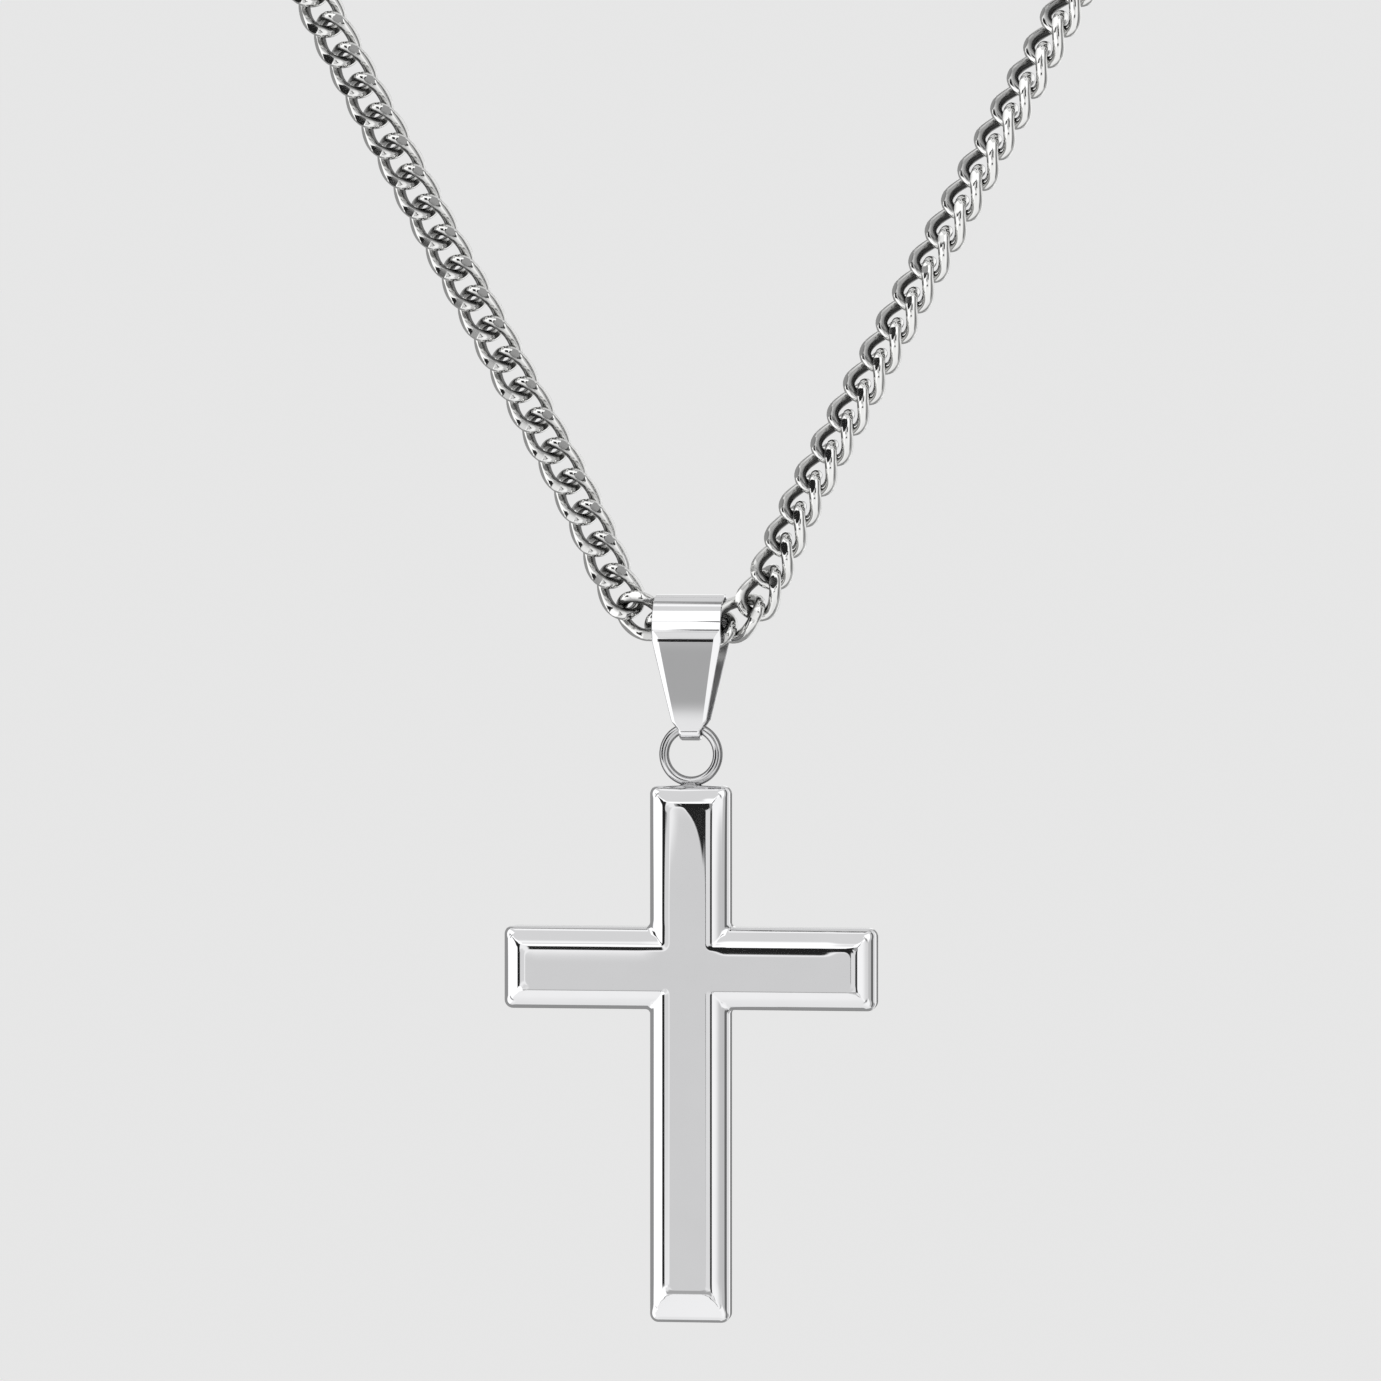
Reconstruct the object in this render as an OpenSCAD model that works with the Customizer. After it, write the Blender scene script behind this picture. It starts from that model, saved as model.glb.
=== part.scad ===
// Cross pendant with a soldered ring, hung by a folded bail on a curb chain necklace.
// Frame: +Z up, the front faces -Y, and the origin is at the nape, where the clasp lies on the neck.

/* [Cross] */
// Height of the cross without its ring
cross_h = 50; // [42:1:60]
// Width of the cross along its bar
cross_w = 35; // [28:1:42]
// Width of the upright
upright_w = 7.5; // [6:0.1:9]
// Width of the bar
bar_w = 7.7; // [6:0.1:9]
// Depth of the bar's middle below the top of the upright
bar_drop = 17; // [14:0.5:20]
// Height of the plain side walls, from the flat back to the bevels
wall_t = 2.3; // [1.8:0.1:3]
// Rise of the bevels from the side walls to the flat panel
bevel_rise = 1.1; // [0.6:0.1:1.4]
// Width of the bevels along the upright
upright_bevel = 1.45; // [0.9:0.05:2]
// Width of the bevels along the bar
bar_bevel = 1.7; // [0.9:0.05:2]
// Width of the bevel at each end of the bar
bar_end_bevel = 1.55; // [0.9:0.05:3]
// Width of the bevel at the top of the upright
top_bevel = 1.5; // [0.9:0.05:3]
// Width of the bevel at the foot of the upright
foot_bevel = 2.65; // [0.9:0.05:4]
// Radius of the outer corners seen from the front
corner_r = 0.8; // [0.3:0.1:1.2]

/* [Ring] */
// Outer diameter of the ring soldered to the cross
ring_od = 5.97; // [5.5:0.05:8]
// Diameter of the ring's wire
ring_wire = 0.92; // [0.7:0.02:1]
// Height of the flared solder seat under the ring
seat_h = 0.6; // [0.4:0.05:0.8]
// Width of the flared solder seat at the cross
seat_w = 2.2; // [1.6:0.1:2.4]

/* [Bail] */
// Height from the chain's middle in the bail down to the ring's top wire
bail_drop = 9.4; // [9:0.1:14]
// Thickness of the folded strip
bail_strip = 0.4; // [0.4:0.05:0.7]
// Inner radius of the round top that holds the chain
bail_bore_r = 2.55; // [2.35:0.05:3]
// Depth below the chain's middle at which the strip starts to narrow and lean in
bail_shoulder = 1.4; // [0.6:0.1:2]
// Inner radius of the fold round the ring's wire
fold_r = 0.84; // [0.82:0.01:1]
// Width of the strip over the chain
bail_top_w = 6.5; // [5:0.1:8]
// Width of the strip where its legs turn into the fold
bail_leg_w = 3.3; // [2.6:0.1:4]
// Width of the strip at the bottom of the fold
bail_foot_w = 2; // [1.4:0.1:2.2]

/* [Chain] */
// Width of the curb chain across its flat face
chain_w = 4.16; // [3.8:0.02:4.4]
// Diameter of the wire of the links
link_wire = 1.06; // [1:0.02:1.12]
// Outer length of one link
link_len = 5.7; // [5.6:0.02:6.2]
// Running gap between the ends of linked links
link_gap = 0.34; // [0.3:0.01:0.4]
// Rise of a link's twisted middle line above and below the chain's flat plane
link_twist = 0.84; // [0.8:0.01:0.94]
// Thickness of the chain between its ground flats
chain_t = 2.48; // [2.2:0.02:2.6]

/* [Clasp] */
// Length of the clasp's barrel
clasp_len = 7.4; // [6:0.2:12]
// Diameter of the clasp's barrel
clasp_d = 3.4; // [3:0.1:4.4]
// Diameter of the wire of the two eyes
eye_wire = 0.9; // [0.7:0.05:1]
// Diameter of each eye along the middle of its wire
eye_d = 3.3; // [3.2:0.1:3.6]

/* [Hidden] */

// Sides of a link's loop and of its wire
LOOP_SIDES = 10;
WIRE_SIDES = 5;
ROUND = 64;

// Middle line of the chain's right half, from the middle of the bail to the nape, as
// control points of a smooth curve in millimetres from the bail's axis. The left half mirrors it.
ROUTE = [
    [0, 0, -0.55], [1.75, 0, -0.34], [3.75, 0, 0.22], [6.3, 0, 2.15], [7.4, 0, 4.6], [9.8, 0, 10.3],
    [13.6, 0, 17.4], [20.5, 0, 30.2], [27.5, 0, 43.2], [34.5, 0, 56.2], [41.5, 2, 69.2],
    [48.5, 9, 82], [55, 20, 94], [60, 35, 105], [62, 53, 114], [60, 71, 121],
    [53, 89, 127], [41.5, 103, 131], [27.5, 112, 134], [13, 115, 135], [0, 115, 135]
];
// Turn of the chain's flat face about the vertical, from the front, at shares of each half
FACE_LEFT = [
    [0, -54], [0.006, -12], [0.018, 10], [0.031, 0], [0.055, 4],
    [0.3, 0], [0.5, -40], [0.7, -90], [0.85, -140], [0.94, -180], [1, -180]
];
FACE_RIGHT = [
    [0, -54], [0.006, -30], [0.018, -27], [0.031, -25], [0.055, -38],
    [0.3, -52], [0.5, -30], [0.62, 30], [0.75, 90], [0.87, 140], [0.94, 180], [1, 180]
];
ROUTE_STEPS = 8;

function unit(v) = v / norm(v);

// The route's control points run on past both ends, mirrored, so the two halves meet smoothly.
function mirror_x(p) = [-p[0], p[1], p[2]];
last = len(ROUTE) - 1;
function route_ctrl(i) =
    i < 0 ? mirror_x(ROUTE[-i]) : i > last ? mirror_x(ROUTE[2 * last - i]) : ROUTE[i];
function route_at(u) =
    let (i = min(floor(u), last - 1), f = u - i)
    ((1 - f) ^ 3 * route_ctrl(i - 1)
     + (3 * f ^ 3 - 6 * f ^ 2 + 4) * route_ctrl(i)
     + (3 * f ^ 2 - 3 * f ^ 3 + 3 * f + 1) * route_ctrl(i + 1)
     + f ^ 3 * route_ctrl(i + 2)) / 6;

route = [for (k = [0:last * ROUTE_STEPS]) route_at(k / ROUTE_STEPS)];
function run_lengths(pts) =
    [for (k = 0, s = 0; k < len(pts);
          k = k + 1, s = s + (k < len(pts) ? norm(pts[k] - pts[k - 1]) : 0)) s];
runs = run_lengths(route);
half_len = runs[len(runs) - 1];
route_u = [for (k = [0:len(runs) - 1]) [runs[k], k / ROUTE_STEPS]];
function point_at(s) = route_at(lookup(s, route_u));

// A link's middle line is a twisted oval.
link_r = link_wire / 2;
loop_a = link_len / 2 - link_r;
loop_b = chain_w / 2 - link_r;
function loop_point(t) = [loop_a * cos(t), loop_b * sin(t), -link_twist * sin(2 * t)];
function loop_dir(t) = unit([-loop_a * sin(t), loop_b * cos(t), -2 * link_twist * cos(2 * t)]);

// Both sides of the links are ground to flats, chain_t apart.
function ground(v) = [v[0], v[1], max(-chain_t / 2, min(chain_t / 2, v[2]))];

// The clasp's eyes hook the last links, whose middles lie clasp_reach from the nape.
eye_r = eye_d / 2;
eye_x = clasp_len / 2 + eye_r - eye_wire / 4;
clasp_reach = eye_x + eye_r + loop_a - (eye_wire + link_wire) / 2 - link_gap / 2;
pitch_fit = 2 * loop_a - link_wire - link_gap;
half_links = ceil((half_len - clasp_reach) / pitch_fit + 0.5);
pitch = (half_len - clasp_reach) / (half_links - 0.5);

// The frame's origin: the neck side of the clasp, at the middle of the nape
nape = [0, route[len(route) - 1][1] - clasp_d / 2, route[len(route) - 1][2]];

// Place of a link whose middle is at s along one half, side +1 for the right and -1 for the left
function to_side(v, side) = [side * v[0], v[1], v[2]];
function link_frame(s, side, face) =
    let (
        d = pitch / 4,
        turn = lookup(s / half_len, face),
        t = side * unit(to_side(point_at(s + d) - point_at(s - d), side)),
        out = [sin(turn), -cos(turn), 0],
        n = unit(out - (out * t) * t),
        w = cross(n, t),
        p = to_side(point_at(s), side)
    )
    [[t[0], w[0], n[0], p[0]], [t[1], w[1], n[1], p[1]], [t[2], w[2], n[2], p[2]], [0, 0, 0, 1]];

module link() {
    points = [
        for (i = [0:LOOP_SIDES - 1], j = [0:WIRE_SIDES - 1])
            let (
                t = i * 360 / LOOP_SIDES,
                dir = loop_dir(t),
                up = unit([0, 0, 1] - dir[2] * dir),
                side = cross(dir, up),
                turn = j * 360 / WIRE_SIDES
            )
            ground(loop_point(t) + link_r * (cos(turn) * up + sin(turn) * side))
    ];
    faces = [
        for (i = [0:LOOP_SIDES - 1], j = [0:WIRE_SIDES - 1])
            let (i2 = (i + 1) % LOOP_SIDES, j2 = (j + 1) % WIRE_SIDES)
            [i * WIRE_SIDES + j, i2 * WIRE_SIDES + j, i2 * WIRE_SIDES + j2, i * WIRE_SIDES + j2]
    ];
    polyhedron(points, faces, convexity = 4);
}

module chain_half(side, face) {
    color([0.8, 0.8, 0.81])
    translate(-nape)
    for (i = [0:half_links - 1])
        multmatrix(link_frame((i + 0.5) * pitch, side, face)) link();
}

module chain_left() {
    chain_half(-1, FACE_LEFT);
}

module chain_right() {
    chain_half(1, FACE_RIGHT);
}

// The bail is a strip bent round the chain and folded round the ring's wire.
ring_mid_r = (ring_od - ring_wire) / 2;
LEG_STEP = 0.02;
CUT_MARGIN = 1;
function mirrored(half) = concat(half, [for (i = [len(half) - 1:-1:0]) [-half[i][0], half[i][1]]]);
function side_wrap(r_top, r_foot) =
    let (
        lean = atan2(r_top - r_foot, bail_drop - bail_shoulder),
        side = r_top - LEG_STEP,
        foot = (r_foot - LEG_STEP) * [cos(lean), -sin(lean)] - [0, bail_drop]
    )
    mirrored([[side, 0], [side, -bail_shoulder], foot]);

module bail_core(w, r_top, r_foot) {
    cylinder(h = w, r = r_top, center = true, $fn = ROUND);
    translate([0, -bail_drop, 0])
        cylinder(h = w, r = r_foot, center = true, $fn = ROUND);
    linear_extrude(w, center = true)
        polygon(side_wrap(r_top, r_foot));
}

bail_top_r = bail_bore_r + bail_strip;
bail_foot_r = fold_r + bail_strip;
module bail_outline() {
    polygon(mirrored([
        [bail_top_w / 2, bail_top_r + CUT_MARGIN],
        [bail_top_w / 2, -bail_shoulder],
        [bail_leg_w / 2, -bail_drop + fold_r],
        [bail_foot_w / 2, -bail_drop],
        [bail_foot_w / 2, -bail_drop - bail_foot_r - CUT_MARGIN]
    ]));
}

module bail() {
    color([0.83, 0.83, 0.84])
    translate(-nape)
    intersection() {
        rotate([90, 0, 90])
        difference() {
            bail_core(bail_top_w + CUT_MARGIN, bail_top_r, bail_foot_r);
            bail_core(bail_top_w + 2 * CUT_MARGIN, bail_bore_r, fold_r);
        }
        rotate([90, 0, 0])
        linear_extrude(2 * (bail_top_r + CUT_MARGIN), center = true)
        bail_outline();
    }
}

// The cross: two bevelled bars in one solid with the ring. Its side walls are centred on
// the ring's plane, and y = 0 is that plane.
ring_z = -bail_drop - ring_mid_r;
cross_top_z = ring_z - ring_mid_r - ring_wire / 2 + 0.1;
bar_z = cross_top_z - bar_drop;

module bevelled_bar(w, h, side_bevel, low_bevel, high_bevel) {
    intersection() {
        translate([-w / 2, 0, 0])
        hull() {
            translate([0, -wall_t / 2, 0]) cube([w, wall_t, h]);
            translate([side_bevel, -wall_t / 2 - bevel_rise, low_bevel])
                cube([w - 2 * side_bevel, 0.01, h - low_bevel - high_bevel]);
        }
        rotate([90, 0, 0])
        linear_extrude(4 * wall_t, center = true)
        rounded_rect(w, h);
    }
}

module rounded_rect(w, h) {
    translate([-w / 2 + corner_r, 0]) square([w - 2 * corner_r, h]);
    translate([-w / 2, corner_r]) square([w, h - 2 * corner_r]);
    for (x = [-1, 1], y = [corner_r, h - corner_r])
        translate([x * (w / 2 - corner_r), y]) circle(corner_r, $fn = ROUND);
}

module ring() {
    translate([0, 0, ring_z])
    rotate([90, 0, 0])
    rotate_extrude($fn = ROUND)
    translate([ring_mid_r, 0]) circle(ring_wire / 2, $fn = 32);
}

module solder_seat() {
    translate([0, 0, cross_top_z - 0.2])
    cylinder(h = seat_h + 0.2, r1 = seat_w / 2, r2 = ring_wire / 2, $fn = ROUND);
}

module cross_pendant() {
    color([0.82, 0.82, 0.83])
    translate(-nape) {
        translate([0, 0, cross_top_z - cross_h])
            bevelled_bar(upright_w, cross_h, upright_bevel, foot_bevel, top_bevel);
        translate([0, 0, bar_z - bar_w / 2])
            bevelled_bar(cross_w, bar_w, bar_end_bevel, bar_bevel, bar_bevel);
        solder_seat();
        ring();
    }
}

// The clasp: a plain barrel with an eye at each end, each eye square to the link it hooks
eye_tilt = atan2(2 * link_twist, loop_b);
module clasp() {
    color([0.8, 0.8, 0.81])
    translate([0, clasp_d / 2, 0]) {
        rotate([0, 90, 0])
            cylinder(h = clasp_len, d = clasp_d, center = true, $fn = ROUND);
        for (end = [-1, 1])
            translate([end * eye_x, 0, 0])
            rotate([end * eye_tilt, 0, 0])
            rotate_extrude($fn = ROUND)
            translate([eye_r, 0]) circle(eye_wire / 2, $fn = 32);
    }
}

cross_pendant();  // cross
bail();
chain_left();
chain_right();
clasp();
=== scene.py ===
"""Looks of the cross pendant necklace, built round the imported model.

Every length is a real size in metres, in the part's frame: +Z up, front to -Y, origin at the nape.
Points of the bail, ring and cross are measured from the bail's axis, where the chain hangs.
"""

import math

import bpy
import numpy as np
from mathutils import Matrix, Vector


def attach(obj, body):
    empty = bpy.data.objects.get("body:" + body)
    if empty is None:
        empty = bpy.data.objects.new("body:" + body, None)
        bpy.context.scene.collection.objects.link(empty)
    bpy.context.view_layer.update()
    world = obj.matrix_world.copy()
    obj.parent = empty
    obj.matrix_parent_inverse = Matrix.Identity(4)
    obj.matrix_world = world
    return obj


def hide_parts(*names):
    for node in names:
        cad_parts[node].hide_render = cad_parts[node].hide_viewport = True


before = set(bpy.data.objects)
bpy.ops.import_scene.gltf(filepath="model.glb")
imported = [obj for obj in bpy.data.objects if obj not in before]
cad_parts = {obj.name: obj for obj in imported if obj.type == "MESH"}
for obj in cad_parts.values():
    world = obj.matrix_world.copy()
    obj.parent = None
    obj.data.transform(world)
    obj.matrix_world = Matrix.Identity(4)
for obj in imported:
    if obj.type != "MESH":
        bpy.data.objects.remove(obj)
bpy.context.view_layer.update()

MM = 0.001

# Route of the chain's right half, from the bail's axis to the nape
ROUTE = np.array([
    (0, 0, -0.55), (1.75, 0, -0.34), (3.75, 0, 0.22), (6.3, 0, 2.15), (7.4, 0, 4.6), (9.8, 0, 10.3),
    (13.6, 0, 17.4), (20.5, 0, 30.2), (27.5, 0, 43.2), (34.5, 0, 56.2), (41.5, 2, 69.2),
    (48.5, 9, 82), (55, 20, 94), (60, 35, 105), (62, 53, 114), (60, 71, 121),
    (53, 89, 127), (41.5, 103, 131), (27.5, 112, 134), (13, 115, 135), (0, 115, 135),
]) * MM
# Turn of the chain's flat face about the vertical, in degrees, at shares of each half
FACE_LEFT = [
    (0, -54), (0.006, -12), (0.018, 10), (0.031, 0), (0.055, 4),
    (0.3, 0), (0.5, -40), (0.7, -90), (0.85, -140), (0.94, -180), (1, -180),
]
FACE_RIGHT = [
    (0, -54), (0.006, -30), (0.018, -27), (0.031, -25), (0.055, -38),
    (0.3, -52), (0.5, -30), (0.62, 30), (0.75, 90), (0.87, 140), (0.94, 180), (1, 180),
]
ROUTE_STEPS = 8

CHAIN_W = 4.16 * MM
LINK_WIRE = 1.06 * MM
LINK_LEN = 5.7 * MM
LINK_GAP = 0.34 * MM
LINK_TWIST = 0.84 * MM
SHOWN_WIRE = 1.12 * MM
FLAT_DEPTH = 0.135 * MM
FLAT_TILT = math.radians(11)
LINK_RINGS = 60

CLASP_LEN = 7.4 * MM
CLASP_D = 3.4 * MM
CLASP_RIM = 0.35 * MM
CLASP_DISH = 1.6
EYE_WIRE = 0.9 * MM
EYE_D = 3.3 * MM

RING_OD = 5.97 * MM
RING_WIRE = 0.92 * MM
SEAT_H = 0.6 * MM
SEAT_R = 1.1 * MM
SEAT_NECK = 0.42 * MM
SEAT_SUNK = 0.15 * MM
SEAT_FLARE = 2.6
RING_SUNK = 0.1 * MM

BAIL_DROP = 9.4 * MM
BAIL_STRIP = 0.4 * MM
BAIL_BORE_R = 2.55 * MM
BAIL_SHOULDER = 1.4 * MM
FOLD_R = 0.84 * MM
BAIL_TOP_W = 6.5 * MM
BAIL_LEG_W = 3.3 * MM
BAIL_FOOT_W = 2 * MM

CROSS_H = 50 * MM
CROSS_W = 35 * MM
UPRIGHT_W = 7.5 * MM
BAR_W = 7.7 * MM
BAR_DROP = 17 * MM
WALL_T = 2.3 * MM
BEVEL_RISE = 1.1 * MM
SIDE_BEVEL = 1.45 * MM
BAR_BEVEL = 1.7 * MM
END_BEVEL = 1.55 * MM
TOP_BEVEL = 1.5 * MM
FOOT_BEVEL = 2.65 * MM


def lerp(a, b, t):
    return a + (b - a) * t


def smooth(t):
    t = min(max(t, 0.0), 1.0)
    return t * t * (3 - 2 * t)


def unit(v):
    return v / np.linalg.norm(v)


def new_object(name, verts, faces, body, replaces=None):
    mesh = bpy.data.meshes.new(name)
    mesh.from_pydata([tuple(v) for v in verts], [], [tuple(f) for f in faces])
    mesh.update()
    mesh.shade_smooth()
    obj = bpy.data.objects.new(name, mesh)
    bpy.context.scene.collection.objects.link(obj)
    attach(obj, body)
    if replaces:
        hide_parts(replaces)
    return obj


def tube_faces(rings, sides):
    """Quads of a closed tube that runs back into itself. The bail's and the rings' face inward."""
    faces = []
    for i in range(rings):
        for j in range(sides):
            i2, j2 = (i + 1) % rings, (j + 1) % sides
            faces.append((i * sides + j, i * sides + j2, i2 * sides + j2, i2 * sides + j))
    return faces


# The chain's middle line is a uniform cubic curve over the route, mirrored past both ends.
LAST = len(ROUTE) - 1
MIRROR = np.array([-1.0, 1.0, 1.0])


def route_ctrl(i):
    if i < 0:
        return ROUTE[-i] * MIRROR
    if i > LAST:
        return ROUTE[2 * LAST - i] * MIRROR
    return ROUTE[i]


def route_at(u):
    i = int(min(math.floor(u), LAST - 1))
    f = u - i
    return (
        (1 - f) ** 3 * route_ctrl(i - 1)
        + (3 * f ** 3 - 6 * f ** 2 + 4) * route_ctrl(i)
        + (3 * f ** 2 - 3 * f ** 3 + 3 * f + 1) * route_ctrl(i + 1)
        + f ** 3 * route_ctrl(i + 2)
    ) / 6


ROUTE_U = np.arange(LAST * ROUTE_STEPS + 1) / ROUTE_STEPS
ROUTE_POINTS = np.array([route_at(u) for u in ROUTE_U])
RUNS = np.concatenate([[0], np.cumsum(np.linalg.norm(np.diff(ROUTE_POINTS, axis=0), axis=1))])
HALF_LEN = RUNS[-1]

LINK_R = LINK_WIRE / 2
LOOP_A = LINK_LEN / 2 - LINK_R
LOOP_B = CHAIN_W / 2 - LINK_R
EYE_R = EYE_D / 2
EYE_X = CLASP_LEN / 2 + EYE_R - EYE_WIRE / 4
CLASP_REACH = EYE_X + EYE_R + LOOP_A - (EYE_WIRE + LINK_WIRE) / 2 - LINK_GAP / 2
PITCH_FIT = 2 * LOOP_A - LINK_WIRE - LINK_GAP
HALF_LINKS = math.ceil((HALF_LEN - CLASP_REACH) / PITCH_FIT + 0.5)
PITCH = (HALF_LEN - CLASP_REACH) / (HALF_LINKS - 0.5)
NAPE = np.array([0, ROUTE_POINTS[-1][1] - CLASP_D / 2, ROUTE_POINTS[-1][2]])


def point_at(s):
    return route_at(np.interp(s, RUNS, ROUTE_U))


def link_frame(s, side, face):
    """Axes and middle of the link at s along one half: side is +1 for the right, -1 for the left."""
    shares, turns = zip(*face)
    turn = math.radians(np.interp(s / HALF_LEN, shares, turns))
    to_side = np.array([side, 1, 1])
    along = side * unit((point_at(s + PITCH / 4) - point_at(s - PITCH / 4)) * to_side)
    out = np.array([math.sin(turn), -math.cos(turn), 0])
    normal = unit(out - (out @ along) * along)
    across = np.cross(normal, along)
    return np.array([along, across, normal]), point_at(s) * to_side - NAPE


# A link's wire follows a twisted oval. Each face of the chain is ground flat where the wire
# stands highest, in two slightly tilted planes.
FLAT_COLUMNS = 4
ARC_COLUMNS = 6
WIRE_COLUMNS = 2 * (FLAT_COLUMNS + ARC_COLUMNS)
SHOWN_R = SHOWN_WIRE / 2
SHOWN_A = LINK_LEN / 2 - SHOWN_R
SHOWN_B = CHAIN_W / 2 - SHOWN_R
LEAST_FLAT = math.radians(3)
FLAT_MARGIN = 1.01
# The flat's tilt turns over within this sine of the loop's ends
TILT_TURN = 0.25
PEAK_FROM, PEAK_TO = 0.55, 0.95
# How far the inward side, which is given painted shade, leans to the link's ends
END_PULL = 0.35


def loop_point(t):
    return np.array([SHOWN_A * math.cos(t), SHOWN_B * math.sin(t), -LINK_TWIST * math.sin(2 * t)])


def loop_dir(t):
    return unit(np.array([
        -SHOWN_A * math.sin(t), SHOWN_B * math.cos(t), -2 * LINK_TWIST * math.cos(2 * t)
    ]))


def flat_normal(t, face):
    """Normal of the ground plane over the loop's point t: face +1 is the front, -1 the back."""
    side = min(max(math.sin(t) / TILT_TURN, -1), 1)
    return np.array([0, side * math.sin(FLAT_TILT), face * math.cos(FLAT_TILT)])


def flat_height():
    turns = np.linspace(PEAK_FROM, PEAK_TO, 200) * math.pi
    peak = max(flat_normal(t, 1) @ loop_point(t) for t in turns)
    return peak + SHOWN_R - FLAT_DEPTH


def link_mesh():
    """Points and quads of one link, which points border a flat, and how far each faces inward, which is
    how much painted shade it gets.
    """
    height = flat_height()
    points, border, painted_shade = [], [], []
    for i in range(LINK_RINGS):
        t = 2 * math.pi * i / LINK_RINGS
        middle, along = loop_point(t), loop_dir(t)
        up = unit(np.array([0, 0, 1.0]) - along[2] * along)
        side = np.cross(along, up)
        inward = unit(np.array([-END_PULL * middle[0], -middle[1], 0]) + 1e-9)
        groups = []
        for face in (1, -1):
            normal = flat_normal(t, face)
            in_plane = normal - (normal @ along) * along
            reach = np.linalg.norm(in_plane)
            centre = math.atan2(in_plane @ side, in_plane @ up)
            cosine = (height - normal @ middle) / (SHOWN_R * reach)
            half = math.acos(min(cosine, math.cos(LEAST_FLAT)))
            groups.append((centre, half))
        (front, front_half), (back, back_half) = groups
        back = front + (back - front) % (2 * math.pi)
        least = LEAST_FLAT * FLAT_MARGIN
        spans = [
            (front - front_half, front + front_half, FLAT_COLUMNS, front_half > least),
            (front + front_half, back - back_half, ARC_COLUMNS, None),
            (back - back_half, back + back_half, FLAT_COLUMNS, back_half > least),
            (back + back_half, front - front_half + 2 * math.pi, ARC_COLUMNS, None),
        ]
        for low, high, count, cut in spans:
            if cut is None:
                angles = [lerp(low, high, (k + 1) / (count + 1)) for k in range(count)]
                ring = [math.cos(a) * up + math.sin(a) * side for a in angles]
                border += [False] * count
            else:
                ends = [math.cos(a) * up + math.sin(a) * side for a in (low, high)]
                ring = [lerp(ends[0], ends[1], k / (count - 1)) for k in range(count)]
                border += [cut] + [False] * (count - 2) + [cut]
            points += [middle + SHOWN_R * v for v in ring]
            # Painted shade: points facing the link's inside are painted darker, where the links shade
            # each other
            painted_shade += [max(0.0, float(v @ inward)) for v in ring]
    return np.array(points), tube_faces(LINK_RINGS, WIRE_COLUMNS), np.array(border), np.array(painted_shade)


def chain_half(name, node, side, face):
    points, quads, border, painted_shade = link_mesh()
    quads = np.array(quads)
    verts, faces = [], []
    for i in range(HALF_LINKS):
        axes, middle = link_frame((i + 0.5) * PITCH, side, face)
        verts.append(points @ axes + middle)
        faces.append(quads + i * len(points))
    obj = new_object(name, np.vstack(verts), np.vstack(faces).tolist(), "chain", node)
    mesh = obj.data
    ends = np.zeros(len(mesh.edges) * 2, int)
    mesh.edges.foreach_get("vertices", ends)
    ends = ends.reshape(-1, 2)
    borders = np.tile(border, HALF_LINKS)
    column = np.tile(np.arange(len(points)) % WIRE_COLUMNS, HALF_LINKS)
    sharp = borders[ends].all(axis=1) & (column[ends[:, 0]] == column[ends[:, 1]])
    mesh.attributes.new("sharp_edge", "BOOLEAN", "EDGE").data.foreach_set("value", sharp)
    # Painted shade on the links' inward sides, which also raises their roughness there
    mesh.attributes.new("painted_shade_and_dull", "FLOAT", "POINT").data.foreach_set(
        "value", np.tile(painted_shade, HALF_LINKS).astype(np.float32)
    )
    return obj


def torus_points(middle, radius, wire_r, axis_x, axis_y, rings=72, sides=24):
    """Points of a ring of wire in the plane of two unit axes."""
    normal = np.cross(axis_x, axis_y)
    points = []
    for i in range(rings):
        a = 2 * math.pi * i / rings
        out = math.cos(a) * axis_x + math.sin(a) * axis_y
        for j in range(sides):
            b = 2 * math.pi * j / sides
            points.append(middle + out * (radius + wire_r * math.cos(b)) + normal * wire_r * math.sin(b))
    return points, tube_faces(rings, sides)


def lathe(profile, origin, axis, out_x, sides=48):
    """Points and faces of a closed turned solid. The profile is (distance along the axis, radius)."""
    out_y = np.cross(axis, out_x)
    points, faces = [], []
    for along, radius in profile:
        for j in range(sides):
            a = 2 * math.pi * j / sides
            points.append(origin + axis * along + radius * (math.cos(a) * out_x + math.sin(a) * out_y))
    for i in range(len(profile) - 1):
        for j in range(sides):
            j2 = (j + 1) % sides
            faces.append((i * sides + j, i * sides + j2, (i + 1) * sides + j2, (i + 1) * sides + j))
    faces.append(tuple(range(sides - 1, -1, -1)))
    end = (len(profile) - 1) * sides
    faces.append(tuple(range(end, end + sides)))
    return points, faces


def join(*shells):
    points, faces = [], []
    for shell_points, shell_faces in shells:
        start = len(points)
        points += [np.asarray(p) for p in shell_points]
        faces += [tuple(start + k for k in f) for f in shell_faces]
    return points, faces


X, Y, Z = np.eye(3)
BAIL_AXIS = -NAPE
RING_MID_R = (RING_OD - RING_WIRE) / 2
RING_MIDDLE = BAIL_AXIS - Z * (BAIL_DROP + RING_MID_R)
CROSS_TOP = RING_MIDDLE[2] - RING_MID_R - RING_WIRE / 2 + RING_SUNK


def clasp():
    middle = Y * CLASP_D / 2
    r, rim = CLASP_D / 2, CLASP_RIM
    half = CLASP_LEN / 2
    profile = [(-half, r - rim * CLASP_DISH)]
    for k in range(7):
        a = math.pi / 2 * k / 6
        profile.append((-half + rim * (1 - math.cos(a)), r - rim * (1 - math.sin(a))))
    profile += [(-d, radius) for d, radius in reversed(profile)]
    shells = [lathe(profile, middle, X, Y)]
    tilt = math.atan2(2 * LINK_TWIST, LOOP_B)
    for end in (-1, 1):
        leaning = math.cos(end * tilt) * Y + math.sin(end * tilt) * Z
        shells.append(torus_points(middle + X * end * EYE_X, EYE_R, EYE_WIRE / 2, X, leaning, 56, 18))
    points, faces = join(*shells)
    return new_object("clasp_body", points, faces, "chain", "clasp")


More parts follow.
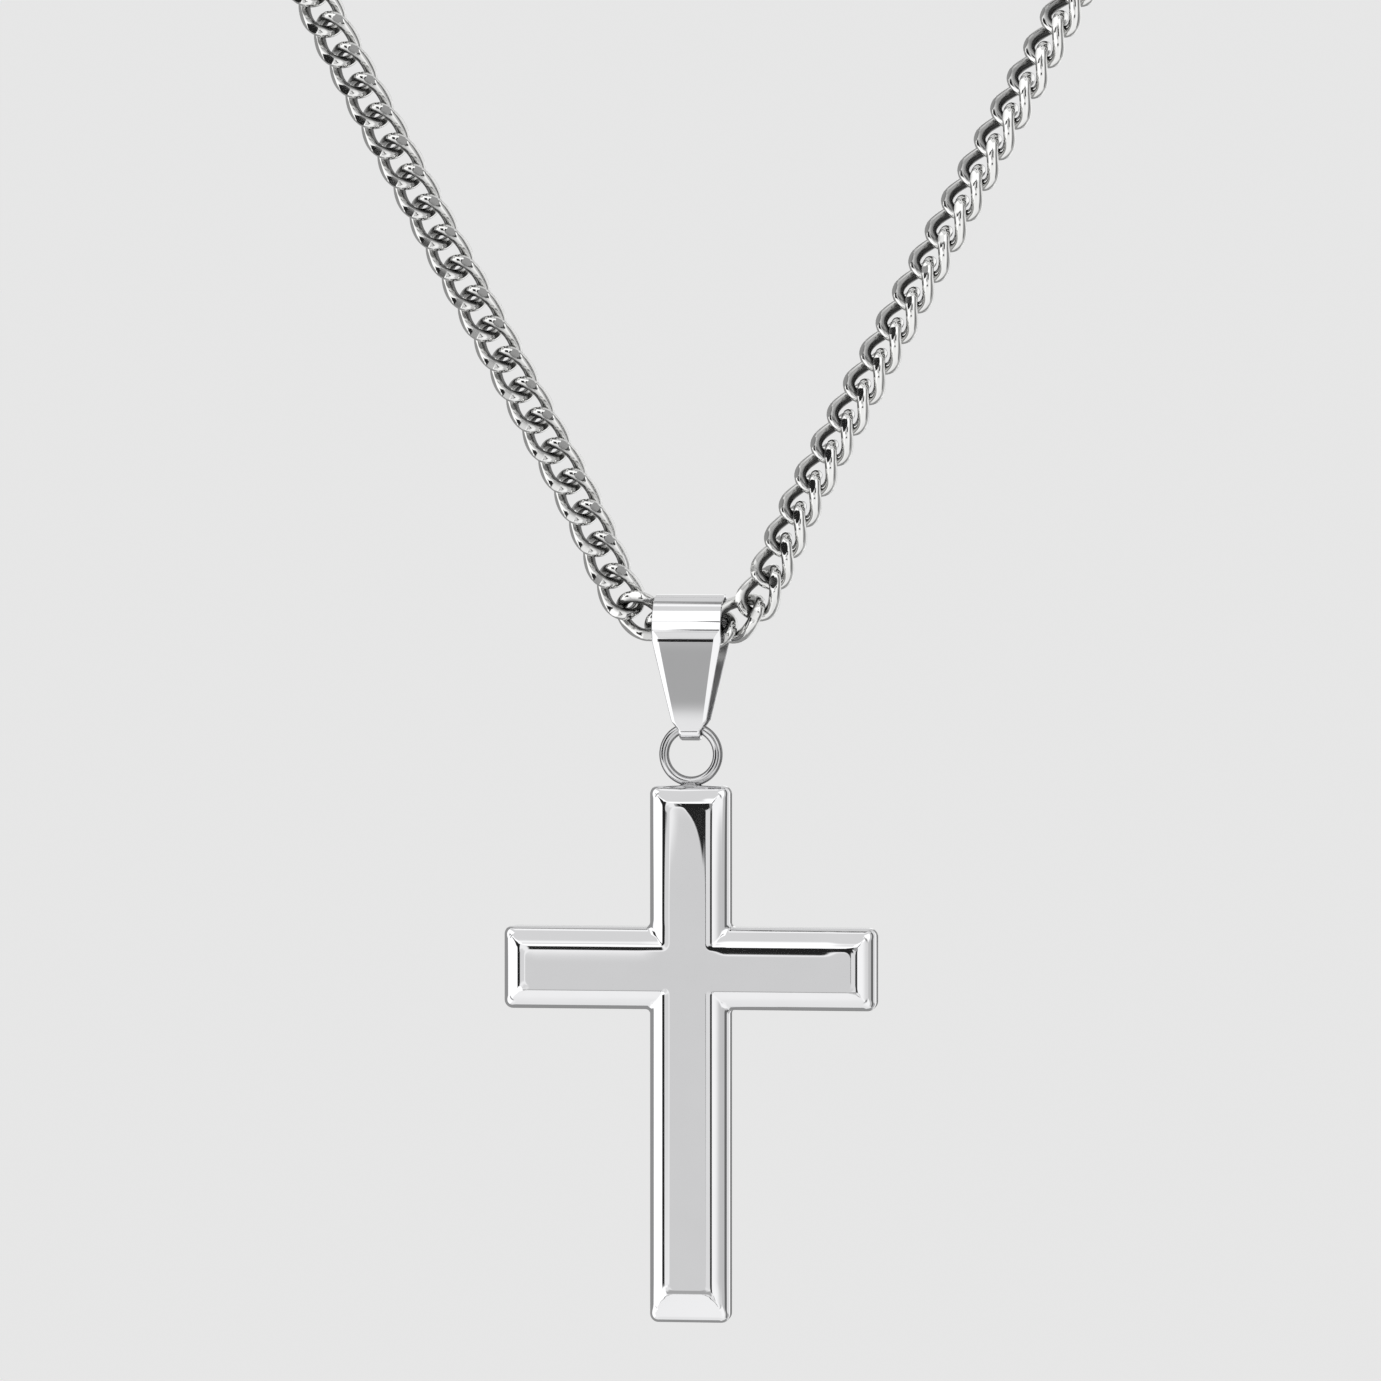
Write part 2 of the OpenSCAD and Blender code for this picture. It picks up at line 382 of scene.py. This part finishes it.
# The cross is built of nested outlines. Each side of the outline moves in by its own share.
def cross_sides():
    """Corners of the cross seen from the front, anticlockwise, and the bevel of the side after each."""
    w, b = UPRIGHT_W / 2, CROSS_W / 2
    foot = CROSS_TOP - CROSS_H
    low = CROSS_TOP - BAR_DROP - BAR_W / 2
    high = low + BAR_W
    return [
        (-w, foot, FOOT_BEVEL), (w, foot, SIDE_BEVEL), (w, low, BAR_BEVEL), (b, low, END_BEVEL),
        (b, high, BAR_BEVEL), (w, high, SIDE_BEVEL), (w, CROSS_TOP, TOP_BEVEL),
        (-w, CROSS_TOP, SIDE_BEVEL), (-w, high, BAR_BEVEL), (-b, high, END_BEVEL),
        (-b, low, BAR_BEVEL), (-w, low, SIDE_BEVEL),
    ]


CORNER_STEPS = 8
SIDE_SHARES = [0.008, *np.linspace(0.024, 0.976, 41), 0.992]


def outline(inset, convex_r, concave_r):
    """One outline of the cross as (x, z) points. inset(bevel) gives how far a side moves in."""
    sides = cross_sides()
    count = len(sides)
    dirs, corners = [], []
    for i in range(count):
        (x1, z1, _), (x2, z2, _) = sides[i], sides[(i + 1) % count]
        dirs.append(unit(np.array([x2 - x1, z2 - z1])))
    for i in range(count):
        before, after = dirs[i - 1], dirs[i]
        normal_before = np.array([-before[1], before[0]])
        normal_after = np.array([-after[1], after[0]])
        corner = np.array(sides[i][:2])
        corners.append(
            corner + normal_before * inset(sides[i - 1][2]) + normal_after * inset(sides[i][2])
        )
    arcs = []
    for i in range(count):
        before, after = dirs[i - 1], dirs[i]
        convex = before[0] * after[1] - before[1] * after[0] > 0
        r = convex_r if convex else concave_r
        middle = corners[i] - before * r + after * r
        arcs.append([
            middle - after * r * math.cos(a) + before * r * math.sin(a)
            for a in np.linspace(0, math.pi / 2, CORNER_STEPS + 1)
        ])
    points = []
    for i in range(count):
        points += arcs[i]
        start, end = arcs[i][-1], arcs[(i + 1) % count][0]
        points += [lerp(start, end, share) for share in SIDE_SHARES]
    return points


# The panel is almost flat and falls a little at its edges. The upright's top right corner is
# folded back along a curve. The upright's upper left, the bar's upper left and the foot's end
# lean back a little, and a narrow band along the top of the right arm steps back.
CROWN_REACH = 2.1 * MM
CROWN_SLOPE = 0.012
EDGE_SLOPE = 0.095
EDGE_REACH = 0.58 * MM
EDGE_BLEND = 0.24 * MM
FOLD_X = (1.5 * MM, 2.32 * MM)
FOLD_FADE = 1.9 * MM
FOLD_LAST, FOLD_OUT = 4.5 * MM, 5 * MM
FOLD_SLOPE = 0.062
FOLD_SOFT = 0.07 * MM
FOLD_END = 1.62 * MM
LEFT_LEAN = 0.052
LEFT_REACH = 10 * MM
LEFT_START = 0.1 * MM
BAR_LEAN = 0.024
BAR_START = 0.2 * MM
BAR_REACH = 2.2 * MM
BAR_X, BAR_FADE = 1.6 * MM, 3 * MM
BAR_LIMIT = 4.2 * MM
BAND_SHARE = 1.3
BAND_W = 0.36 * MM
BAND_TOP = 0.43 * MM
BAND_X = (2.3 * MM, 12.9 * MM)
BAND_FADE = 1.4 * MM
FOOT_LEAN = 0.07
FOOT_REACH = 1.3 * MM


def crown_slope(d):
    edge = smooth((EDGE_REACH - d) / EDGE_BLEND + 0.5)
    return CROWN_SLOPE * (1 - d / CROWN_REACH) + EDGE_SLOPE * edge


def crown_drop(d):
    run = np.linspace(d, CROWN_REACH, 60)
    slopes = [crown_slope(r) for r in run]
    return float(sum(slopes) - (slopes[0] + slopes[-1]) / 2) * (CROWN_REACH - d) / 59


def ramp(past):
    """Drop of a surface that starts to fall at 0."""
    t = past / FOLD_SOFT
    return FOLD_SLOPE * FOLD_SOFT * (t if t > 30 else math.log1p(math.exp(t)))


def panel_drop(x, z):
    """How far the panel lies behind its plane at a point of the front."""
    below = max(0.0, CROSS_TOP - TOP_BEVEL - z)
    fold = ramp(x - FOLD_X[0] + FOLD_X[1] * math.exp(-below / FOLD_FADE)) - ramp(x - FOLD_END)
    fold *= 1 - smooth((below - FOLD_LAST) / FOLD_OUT)
    half = UPRIGHT_W / 2 - SIDE_BEVEL
    left = max(0.0, -x + LEFT_START) ** 2 / (2 * half) if x > -UPRIGHT_W / 2 else 0.0
    left *= LEFT_LEAN * (1 - smooth(below / LEFT_REACH))
    high = max(0.0, z - (CROSS_TOP - BAR_DROP) + BAR_START)
    bar = BAR_LEAN * high ** 2 / (2 * BAR_REACH) * smooth((-x - BAR_X) / BAR_FADE)
    up = z - (CROSS_TOP - BAR_DROP + BAR_W / 2 - BAR_BEVEL - BAND_TOP)
    wide = BAND_W * smooth((x - BAND_X[0]) / BAND_FADE) * (1 - smooth((x - BAND_X[1]) / BAND_FADE))
    band = BAND_SHARE * (ramp(up + wide) - ramp(up))
    down = CROSS_TOP - CROSS_H + FOOT_BEVEL + FOOT_REACH - z
    foot = FOOT_LEAN * min(max(down, 0.0), FOOT_REACH) ** 2 / (2 * FOOT_REACH)
    return fold + left + band + foot + (bar if high < BAR_LIMIT else 0.0)


# The rear of the wall leans in a little.
DRAFT_DEPTH = 1.4 * MM
WALL_DRAFT = 0.056 * MM
BACK_EDGE = 0.12 * MM
FRONT_EDGE = 0.6 * MM
PANEL_FILLET = 0.24 * MM
# Height that the rounded foot and top of the bevel take
FOOT_RISE, TOP_RISE = 0.44 * MM, 0.07 * MM
LEVEL_TIGHTER = 0.15 * MM
BEVEL_BULGE = 0.012
DRAFT_SHARES = (0.95, 0.05)
PANEL_SPREAD = 1.2
CENTRE_GAP = 0.03 * MM
# Convex and concave corner radii in millimetres, from the wall to the middle of the panel: the
# wall, the bevel's foot, middle and top, the fillet's inner side, the panel's edge and its middle
WALL_CORNERS = (0.8, 0.45)
LOW_CORNERS = (0.6, 0.35)
MID_CORNERS = (0.12, 0.08)
TOP_CORNERS = (0.35, 0.2)
FILLET_CORNERS = (0.7, 0.4)
PANEL_CORNERS = (0.75, 0.4)
CENTRE_CORNERS = (0.05, 1.6)


def between(corners, others, t):
    return [lerp(a, b, t) for a, b in zip(corners, others)]


def tight(bevel):
    """How much narrower the fillet inside a level side's bevel is."""
    return 0.0 if bevel in (SIDE_BEVEL, END_BEVEL) else LEVEL_TIGHTER


def cross_levels():
    """(inset function, depth, corner radii, share of the end's drop) from the back to the panel."""
    back, front = WALL_T / 2, -WALL_T / 2
    crest = front - BEVEL_RISE
    fillet = PANEL_FILLET
    top = crest + crown_drop(fillet) + fillet * crown_slope(fillet)
    rise = front - top
    levels = []

    def add(inset, depth, convex, concave, share=0.0):
        levels.append((inset, depth, convex * MM, concave * MM, share))

    edge = BACK_EDGE
    for k in range(7):
        a = math.pi / 2 * k / 6
        e = edge * (1 - math.sin(a)) + WALL_DRAFT
        add(lambda b, e=e: e, back - edge * (1 - math.cos(a)), *WALL_CORNERS)
    for share in DRAFT_SHARES:
        add(
            lambda b, e=share * WALL_DRAFT: e, back - edge - (1 - share) * DRAFT_DEPTH,
            *WALL_CORNERS,
        )
    add(lambda b: 0, back - edge - DRAFT_DEPTH, *WALL_CORNERS)
    rim = FRONT_EDGE
    low, high = FOOT_RISE, TOP_RISE
    for k in range(13):
        t = k / 12
        depth = front + rim * (1 - t) ** 2 - low * t ** 2
        add(
            lambda b, t=t: b / rise * low * t ** 2, depth,
            *between(WALL_CORNERS, LOW_CORNERS, t), low / rise * t ** 2,
        )
    for k in range(1, 9):
        h = lerp(low / rise, 1 - high / rise, k / 9)
        bulge = BEVEL_BULGE * math.sin(math.pi * k / 9)
        blend = 1 - abs(2 * k / 9 - 1) ** 3
        add(
            lambda b, h=h, bulge=bulge: b * (h - bulge), front - rise * h,
            *between(LOW_CORNERS, MID_CORNERS, blend), h,
        )
    for k in range(13):
        t = k / 12
        depth = top + high * (1 - t) ** 2 - fillet * crown_slope(fillet) * t ** 2
        share = lerp(1 - high / rise, 1, 1 - (1 - t) ** 2)
        add(
            lambda b, t=t: b - b / rise * high * (1 - t) ** 2 + (fillet - tight(b)) * t ** 2, depth,
            *between(TOP_CORNERS, FILLET_CORNERS, t), share,
        )
    for k in range(1, 23):
        t = (k / 22) ** PANEL_SPREAD
        d = lerp(fillet, CROWN_REACH - CENTRE_GAP, t)
        add(
            lambda b, d=d: b + d - tight(b), crest + crown_drop(d),
            *between(PANEL_CORNERS, CENTRE_CORNERS, t), 1.0,
        )
    return levels


def cross_body():
    points, faces = [], []
    count = 0
    levels = cross_levels()
    for inset, depth, convex_r, concave_r, share in levels:
        ring = outline(inset, convex_r, concave_r)
        count = len(ring)
        points += [
            np.array([x, BAIL_AXIS[1] + depth + share * panel_drop(x, z), z]) for x, z in ring
        ]
    for i in range(len(levels) - 1):
        for j in range(count):
            j2 = (j + 1) % count
            faces.append((i * count + j, i * count + j2, (i + 1) * count + j2, (i + 1) * count + j))
    faces.append(tuple(range(count - 1, -1, -1)))
    end = (len(levels) - 1) * count
    faces.append(tuple(range(end, end + count)))
    return points, faces


def solder_seat():
    """The flared seat between the ring and the top of the cross."""
    profile = [(-SEAT_SUNK, SEAT_R)]
    for k in range(13):
        t = k / 12
        flare = (1 - t) ** SEAT_FLARE
        profile.append((t * SEAT_H, lerp(SEAT_NECK, SEAT_R, flare)))
    return lathe(profile, np.array([0, BAIL_AXIS[1], CROSS_TOP]), Z, X, 40)


RING_SIDES = 28
# Painted shade on the ring, strongest at the inner and outer edges of its wire, and on the seat between
# ring and cross; the same values raise the roughness
RING_SHADE_AND_DULL = 0.2
RING_SIDE_SHADE_AND_DULL = 0.76
SEAT_SHADE_AND_DULL = 0.45


def cross():
    ring = torus_points(RING_MIDDLE, RING_MID_R, RING_WIRE / 2, X, -Z, 112, RING_SIDES)
    body, seat = cross_body(), solder_seat()
    points, faces = join(body, seat, ring)
    obj = new_object("cross_body", points, faces, "cross", "cross")
    sides = 2 * math.pi * np.arange(len(ring[0])) / RING_SIDES
    # Painted shade: none on the cross's body, even over the seat, and on the ring darker towards the
    # edges of its wire
    shade_and_dull = [0.0] * len(body[0]) + [SEAT_SHADE_AND_DULL] * len(seat[0])
    shade_and_dull += (RING_SHADE_AND_DULL + RING_SIDE_SHADE_AND_DULL * np.cos(sides) ** 2).tolist()
    obj.data.attributes.new("painted_shade_and_dull", "FLOAT", "POINT").data.foreach_set("value", shade_and_dull)
    weighted = obj.modifiers.new("weighted", "WEIGHTED_NORMAL")
    weighted.weight = 60
    return obj


# The bail is a strip with bevelled edges, bent in the plane of Y and Z and closed at its fold.
DOME_R = 2.84 * MM
DOME_UP = 0.1 * MM
DOME_TURN = math.radians(9)
DOME_FOOT = -0.34 * MM
LIP_H = 0.27 * MM
LIP_OUT = 0.026 * MM
LEG_BOW = 0.5 * MM
SUPPORT, MOST_SUPPORT = 0.03 * MM, 0.3
LIP_NOTCH = 0.05 * MM


def segment(start, end, count):
    """Points from start to end, the end left out, with close points beside both ends."""
    start, end = np.array(start), np.array(end)
    share = min(SUPPORT / np.linalg.norm(end - start), MOST_SUPPORT)
    shares = [0, share] + [lerp(share, 1 - share, k / count) for k in range(1, count)] + [1 - share]
    return [lerp(start, end, t) for t in shares]


def bail_path():
    """Outer line of the strip in (y, z): over the top from the back, down the front, round the fold."""
    r_top, r_foot = BAIL_BORE_R + BAIL_STRIP, FOLD_R + BAIL_STRIP
    lean = math.atan2(r_top - r_foot, BAIL_DROP - BAIL_SHOULDER)
    points = []
    for k in range(49):
        a = (math.pi - DOME_TURN) * k / 48
        points.append(np.array([DOME_R * math.cos(a), DOME_UP + DOME_R * math.sin(a)]))
    start = points.pop()
    low = np.array([start[0] - (start[1] - DOME_FOOT) * math.tan(DOME_TURN), DOME_FOOT])
    lip = np.array([low[0] + LIP_OUT, -BAIL_SHOULDER + LIP_H])
    crease = np.array([low[0], -BAIL_SHOULDER])
    low_end = np.array([lip[0], DOME_FOOT - LIP_NOTCH])
    foot = np.array([-r_foot * math.cos(lean), -BAIL_DROP - r_foot * math.sin(lean)])
    points += segment(start, low, 8) + segment(low, low_end, 1) + segment(low_end, lip, 6)
    points.append(lip)
    sharp = [lip, crease, low, low_end]
    outward = np.array([-math.cos(lean), -math.sin(lean)])
    shares = [0, 0.004, 0.02] + [lerp(0.02, 1, k / 30) for k in range(1, 31)]
    points += [lerp(crease, foot, t) + outward * LEG_BOW * t * (1 - t) for t in shares]
    for k in range(1, 28):
        a = math.pi + lean + (math.pi - 2 * lean) * k / 28
        points.append(np.array([r_foot * math.cos(a), -BAIL_DROP + r_foot * math.sin(a)]))
    points += segment((-foot[0], foot[1]), (r_top, -BAIL_SHOULDER), 20)
    points += segment((r_top, -BAIL_SHOULDER), (DOME_R, DOME_UP), 6)
    crisp = [k for k, p in enumerate(points) if any(np.allclose(p, s, atol=1e-7) for s in sharp)]
    return np.array(points), crisp


FOOT_SHIFT = 0.35 * MM


def bail_half_width(z):
    if z > -BAIL_SHOULDER:
        return BAIL_TOP_W / 2
    low = -BAIL_DROP + FOLD_R - FOOT_SHIFT
    if z > low:
        return lerp(BAIL_LEG_W, BAIL_TOP_W, (z - low) / (-BAIL_SHOULDER - low)) / 2
    t = min((low - z) / FOLD_R, 1)
    return lerp(BAIL_LEG_W, BAIL_FOOT_W, t) / 2


EDGE_SHARE = 0.21
EDGE_DROP = 0.56
EDGE_TURN = 0.05 * MM
EDGE_SIDE = 0.06 * MM
SIDE_SHADE_AND_DULL = 0.3
TOP_BEVEL_SHARE = 0.1
BEVEL_END = -1.25 * MM
BEVEL_FADE = 1.2 * MM
# Inside the dome the strip is thinner than the CAD model's, so that it clears the links
TOP_STRIP = 0.28 * MM
THIN_START, THIN_RUN = -0.9 * MM, 0.7 * MM
EDGE_ROUND = 0.04 * MM


def bail():
    outer, crisp = bail_path()
    ahead, behind = np.roll(outer, -1, axis=0), np.roll(outer, 1, axis=0)
    along = (ahead - outer) / np.linalg.norm(ahead - outer, axis=1)[:, None]
    along += (outer - behind) / np.linalg.norm(outer - behind, axis=1)[:, None]
    along /= np.linalg.norm(along, axis=1)[:, None]
    inward = np.stack([-along[:, 1], along[:, 0]], axis=1)
    verts, shade_amounts = [], []
    count = 0
    for (y, z), (in_y, in_z) in zip(outer, inward):
        half = bail_half_width(z)
        width = EDGE_SHARE * half * lerp(1, TOP_BEVEL_SHARE, smooth((z - BEVEL_END) / BEVEL_FADE))
        drop = EDGE_DROP * (width - EDGE_TURN)
        thick = lerp(BAIL_STRIP, TOP_STRIP, smooth((z - THIN_START) / THIN_RUN))
        # The third value of each section point is its painted shade: none on the outer face, some at the
        # inner edges, full on the inner face round the bore
        section = [
            (half - width, 0, 0), (half - EDGE_TURN, drop, 0), (half, drop + EDGE_SIDE, 0),
            (half, thick - EDGE_SIDE, SIDE_SHADE_AND_DULL), (half - EDGE_SIDE, thick, 1),
        ]
        ring = section + [(-x, d, painted_shade) for x, d, painted_shade in reversed(section)]
        count = len(ring)
        for x, d, painted_shade in ring:
            verts.append(BAIL_AXIS + np.array([x, y + in_y * d, z + in_z * d]))
            shade_amounts.append(painted_shade)
    obj = new_object("bail_strip", verts, tube_faces(len(outer), count), "bail", "bail")
    obj.data.attributes.new("painted_shade_and_dull", "FLOAT", "POINT").data.foreach_set("value", shade_amounts)
    ends = np.zeros(len(obj.data.edges) * 2, int)
    obj.data.edges.foreach_get("vertices", ends)
    rows = ends.reshape(-1, 2) // count
    sharp = (rows[:, 0] == rows[:, 1]) & np.isin(rows[:, 0], crisp)
    obj.data.attributes.new("sharp_edge", "BOOLEAN", "EDGE").data.foreach_set("value", sharp)
    edges = obj.modifiers.new("edges", "BEVEL")
    edges.width = EDGE_ROUND
    edges.segments = 3
    edges.limit_method = "ANGLE"
    edges.angle_limit = math.radians(20)
    weighted = obj.modifiers.new("weighted", "WEIGHTED_NORMAL")
    weighted.keep_sharp = True
    return obj


POLISH_SCALE = 260
POLISH_TINT = 0.95
DULL_ROUGHNESS = 0.3


def steel(name, color, roughness, wear=0.03, painted_shade=None):
    """Polished steel: fine clouds vary its roughness and tone, and painted shade from a point attribute
    may darken the colour and raise the roughness.
    """
    mat = bpy.data.materials.new(name)
    mat.use_nodes = True
    nodes, links = mat.node_tree.nodes, mat.node_tree.links
    shader = nodes["Principled BSDF"]
    shader.inputs["Metallic"].default_value = 1.0
    place = nodes.new("ShaderNodeTexCoord")
    clouds = nodes.new("ShaderNodeTexNoise")
    clouds.inputs["Scale"].default_value = POLISH_SCALE
    clouds.inputs["Detail"].default_value = 3
    links.new(place.outputs["Object"], clouds.inputs["Vector"])
    rough = nodes.new("ShaderNodeMapRange")
    rough.inputs["To Min"].default_value = roughness
    rough.inputs["To Max"].default_value = roughness + wear
    links.new(clouds.outputs["Fac"], rough.inputs["Value"])
    rough_out = rough.outputs["Result"]
    tint = nodes.new("ShaderNodeMix")
    tint.data_type = "RGBA"
    tint.inputs["A"].default_value = (*color, 1)
    tint.inputs["B"].default_value = (*(c * POLISH_TINT for c in color), 1)
    links.new(clouds.outputs["Fac"], tint.inputs["Factor"])
    color_out = tint.outputs["Result"]
    # Painted shade: as the attribute rises, the colour darkens towards the given share of itself and the
    # roughness rises
    if painted_shade is not None:
        shade_amounts = nodes.new("ShaderNodeAttribute")
        shade_amounts.attribute_name = "painted_shade_and_dull"
        shade_mix = nodes.new("ShaderNodeMix")
        shade_mix.data_type = "RGBA"
        shade_mix.inputs["B"].default_value = (*(c * painted_shade for c in color), 1)
        links.new(shade_amounts.outputs["Fac"], shade_mix.inputs["Factor"])
        links.new(color_out, shade_mix.inputs["A"])
        color_out = shade_mix.outputs["Result"]
        shade_and_dull = nodes.new("ShaderNodeMapRange")
        shade_and_dull.inputs["To Max"].default_value = DULL_ROUGHNESS
        links.new(shade_amounts.outputs["Fac"], shade_and_dull.inputs["Value"])
        links.new(rough_out, shade_and_dull.inputs["To Min"])
        rough_out = shade_and_dull.outputs["Result"]
    links.new(color_out, shader.inputs["Base Color"])
    links.new(rough_out, shader.inputs["Roughness"])
    return mat


def dress(obj, mat):
    obj.data.materials.clear()
    obj.data.materials.append(mat)


# Stage: a pale floor, even light, and a shell round the pendant that only reflections see.
# Each patch of the shell: from and to azimuth, from and to elevation, brightness, softness and
# tilt. Azimuth 0 is the front and positive to +X. Tilt lowers the patch by that much per degree
# of azimuth. A patch lies over the ones before it.
SHELL_BASE = 0.75
SHELL_PATCHES = [
    (-180, 180, -90, -11.5, 0.95, 6, 0),
    (-60, 60, -66, -36, 1.05, 8, 0),
    (-180, 180, 86.5, 90, 0.62, 2, 0),
    (95, 271, -84, 86, 0.33, 4, 0),
    (140, 220, 22.5, 86, 0.75, 6, 0),
    (-89, -54, -52, 53, 1.3, 4, 0),
    (27, 66, -52, 53, 1.12, 8, 0),
    (-60, 60, 13, 55.5, 1.35, 1.5, 0),
    (-110, 110, 55.5, 73.5, 0.8, 3, 0),
    (-110, 110, 73.5, 80.5, 1.15, 2, 0),
    (-110, 110, 80.5, 87.5, 0.03, 1.5, 0),
    (62, 80, -50, 52, 0.62, 10, 0),
    (80, 104, -50, 52, 0.16, 5, 0),
    (104, 138, -50, 52, 0.9, 5, 0),
    (104, 142, -50, -9, 0.52, 4, 0),
    (140, 172.5, -35, 22, 1.1, 2, 0),
    (172.5, 200, -35, -0.3, 0.22, 1.5, 0),
    (184, 200, -0.3, 22, 1.1, 1.5, 0),
    (-64, -26, -8.5, 30, 0.02, 2, 0),
    (-64, -20, -36, -8.5, 1.35, 2, 0),
    (-26, -12, -8.5, 32.5, 1.05, 4, 0),
    (-26, -17, -5, 4.5, 0.8, 2, 0),
    (-13, -2, -17.5, -0.4, 0.74, 2.6, 0),
    (-14, -2, -0.7, 4, 1.05, 1.6, 0),
    (-0.5, 9, -11.5, 8.5, 0.86, 1.5, 0),
    (3, 20, 5, 22, 0.37, 2, 0),
    (9, 34, -20, 4, 0.05, 1.5, 0),
    (20, 26, -20, 36.5, 0.05, 1.5, 0),
    (-20, 12, -28.5, -17, 0.45, 3, 0),
    (-22, 14, -41, -36.5, 0.04, 1.2, 0),
    (-13, -0.5, 7.1, 60, 0.02, 0.8, 1),
    (-8.2, 3, 7.5, 22.5, 0.02, 0.8, 0),
]
SHELL_RADIUS = 1.7
SHELL_DROP = 0.03
# A tilted patch ends at this elevation
SHELL_DARK_TOP = 13


def window(v, low, high, soft):
    rise = np.clip((v - low) / soft + 0.5, 0, 1)
    fall = np.clip((high - v) / soft + 0.5, 0, 1)
    return (rise * rise * (3 - 2 * rise)) * (fall * fall * (3 - 2 * fall))


def shell():
    azimuths = np.arange(-180, 180, 1.0)
    elevations = np.arange(-90, 90.1, 1.0)
    az, el = np.meshgrid(azimuths, elevations)
    glow = np.full(az.shape, SHELL_BASE)
    for az_low, az_high, el_low, el_high, value, soft, tilt in SHELL_PATCHES:
        if az_high - az_low >= 360:
            across = 1
        else:
            turned = (az - az_low + 90) % 360 + az_low - 90
            across = window(turned, az_low, az_high, soft)
        lowest = el + tilt * (az - az_low)
        share = across * window(lowest, el_low, el_high, soft) * (el < SHELL_DARK_TOP if tilt else 1)
        glow = glow * (1 - share) + value * share
    a, e = np.radians(az), np.radians(el)
    out = np.stack([np.sin(a) * np.cos(e), -np.cos(a) * np.cos(e), np.sin(e)], axis=-1)
    verts = (out * SHELL_RADIUS + BAIL_AXIS - Z * SHELL_DROP).reshape(-1, 3)
    rows, cols = az.shape
    faces = []
    for i in range(rows - 1):
        for j in range(cols):
            j2 = (j + 1) % cols
            faces.append((i * cols + j, i * cols + j2, (i + 1) * cols + j2, (i + 1) * cols + j))
    mesh = bpy.data.meshes.new("shell")
    mesh.from_pydata(verts.tolist(), [], faces)
    mesh.attributes.new("glow", "FLOAT", "POINT").data.foreach_set(
        "value", glow.ravel().astype(np.float32)
    )
    mat = bpy.data.materials.new("shell_light")
    mat.use_nodes = True
    nodes, links = mat.node_tree.nodes, mat.node_tree.links
    nodes.clear()
    value = nodes.new("ShaderNodeAttribute")
    value.attribute_name = "glow"
    light = nodes.new("ShaderNodeEmission")
    out_node = nodes.new("ShaderNodeOutputMaterial")
    links.new(value.outputs["Fac"], light.inputs["Strength"])
    links.new(light.outputs["Emission"], out_node.inputs["Surface"])
    mat.cycles.emission_sampling = "NONE"
    mesh.materials.append(mat)
    obj = bpy.data.objects.new("shell", mesh)
    bpy.context.scene.collection.objects.link(obj)
    obj.visible_camera = False
    obj.visible_shadow = False
    obj.visible_diffuse = False


FLOOR_DROP = 0.35
FLOOR_SIZE = 60
# The floor is as bright as the sky over it, so that no horizon shows
SKY = 0.796


def floor():
    mesh = bpy.data.meshes.new("floor")
    s = FLOOR_SIZE
    mesh.from_pydata([(-s, -s, 0), (s, -s, 0), (s, s, 0), (-s, s, 0)], [], [(0, 1, 2, 3)])
    obj = bpy.data.objects.new("floor", mesh)
    obj.location.z = -FLOOR_DROP
    bpy.context.scene.collection.objects.link(obj)
    mat = bpy.data.materials.new("floor_paint")
    mat.use_nodes = True
    shader = mat.node_tree.nodes["Principled BSDF"]
    shader.inputs["Base Color"].default_value = (1, 1, 1, 1)
    shader.inputs["Roughness"].default_value = 1
    shader.inputs["Specular IOR Level"].default_value = 0
    mesh.materials.append(mat)
    obj.visible_glossy = False


def sky():
    world = bpy.data.worlds.new("studio")
    bpy.context.scene.world = world
    world.use_nodes = True
    back = world.node_tree.nodes["Background"]
    back.inputs["Color"].default_value = (SKY, SKY, SKY, 1)
    back.inputs["Strength"].default_value = 1.0


CAMERA_DISTANCE = 1.2
CAMERA_AZIMUTH = math.radians(9.5)
CAMERA_ELEVATION = math.radians(2)
PIXELS_PER_MM = 10.76
PHOTO_SIZE = 1381
SENSOR = 0.036
VIEW_SIDE, VIEW_DROP = 0.05 * MM, 6.0 * MM
VIEW_MIDDLE = Vector((-VIEW_SIDE, BAIL_AXIS[1], BAIL_AXIS[2] - VIEW_DROP))


def camera():
    data = bpy.data.cameras.new("camera")
    obj = bpy.data.objects.new("camera", data)
    bpy.context.scene.collection.objects.link(obj)
    out = Vector((
        math.sin(CAMERA_AZIMUTH) * math.cos(CAMERA_ELEVATION),
        -math.cos(CAMERA_AZIMUTH) * math.cos(CAMERA_ELEVATION),
        math.sin(CAMERA_ELEVATION),
    ))
    obj.location = VIEW_MIDDLE + out * CAMERA_DISTANCE
    obj.rotation_euler = out.to_track_quat("Z", "Y").to_euler()
    frame_width = PHOTO_SIZE / PIXELS_PER_MM * MM
    data.sensor_width = SENSOR / MM
    data.lens = SENSOR / MM * CAMERA_DISTANCE / frame_width
    data.clip_end = 200
    bpy.context.scene.camera = obj


# Where given, the last value is the colour that painted shade darkens a steel to, as a share of its own
# colour
chain_steel = steel("chain_steel", (0.82, 0.82, 0.81), 0.06, painted_shade=0.08)
clasp_steel = steel("clasp_steel", (0.8, 0.8, 0.79), 0.08)
bail_steel = steel("bail_steel", (0.84, 0.84, 0.85), 0.04, painted_shade=0.8)
cross_steel = steel("cross_steel", (0.83, 0.83, 0.84), 0.035, 0.02, painted_shade=0.15)

camera()
dress(chain_half("chain_links_left", "chain_left", -1, FACE_LEFT), chain_steel)
dress(chain_half("chain_links_right", "chain_right", 1, FACE_RIGHT), chain_steel)
dress(clasp(), clasp_steel)
dress(bail(), bail_steel)
dress(cross(), cross_steel)

floor()
shell()
sky()
bpy.context.scene.view_settings.view_transform = "Standard"
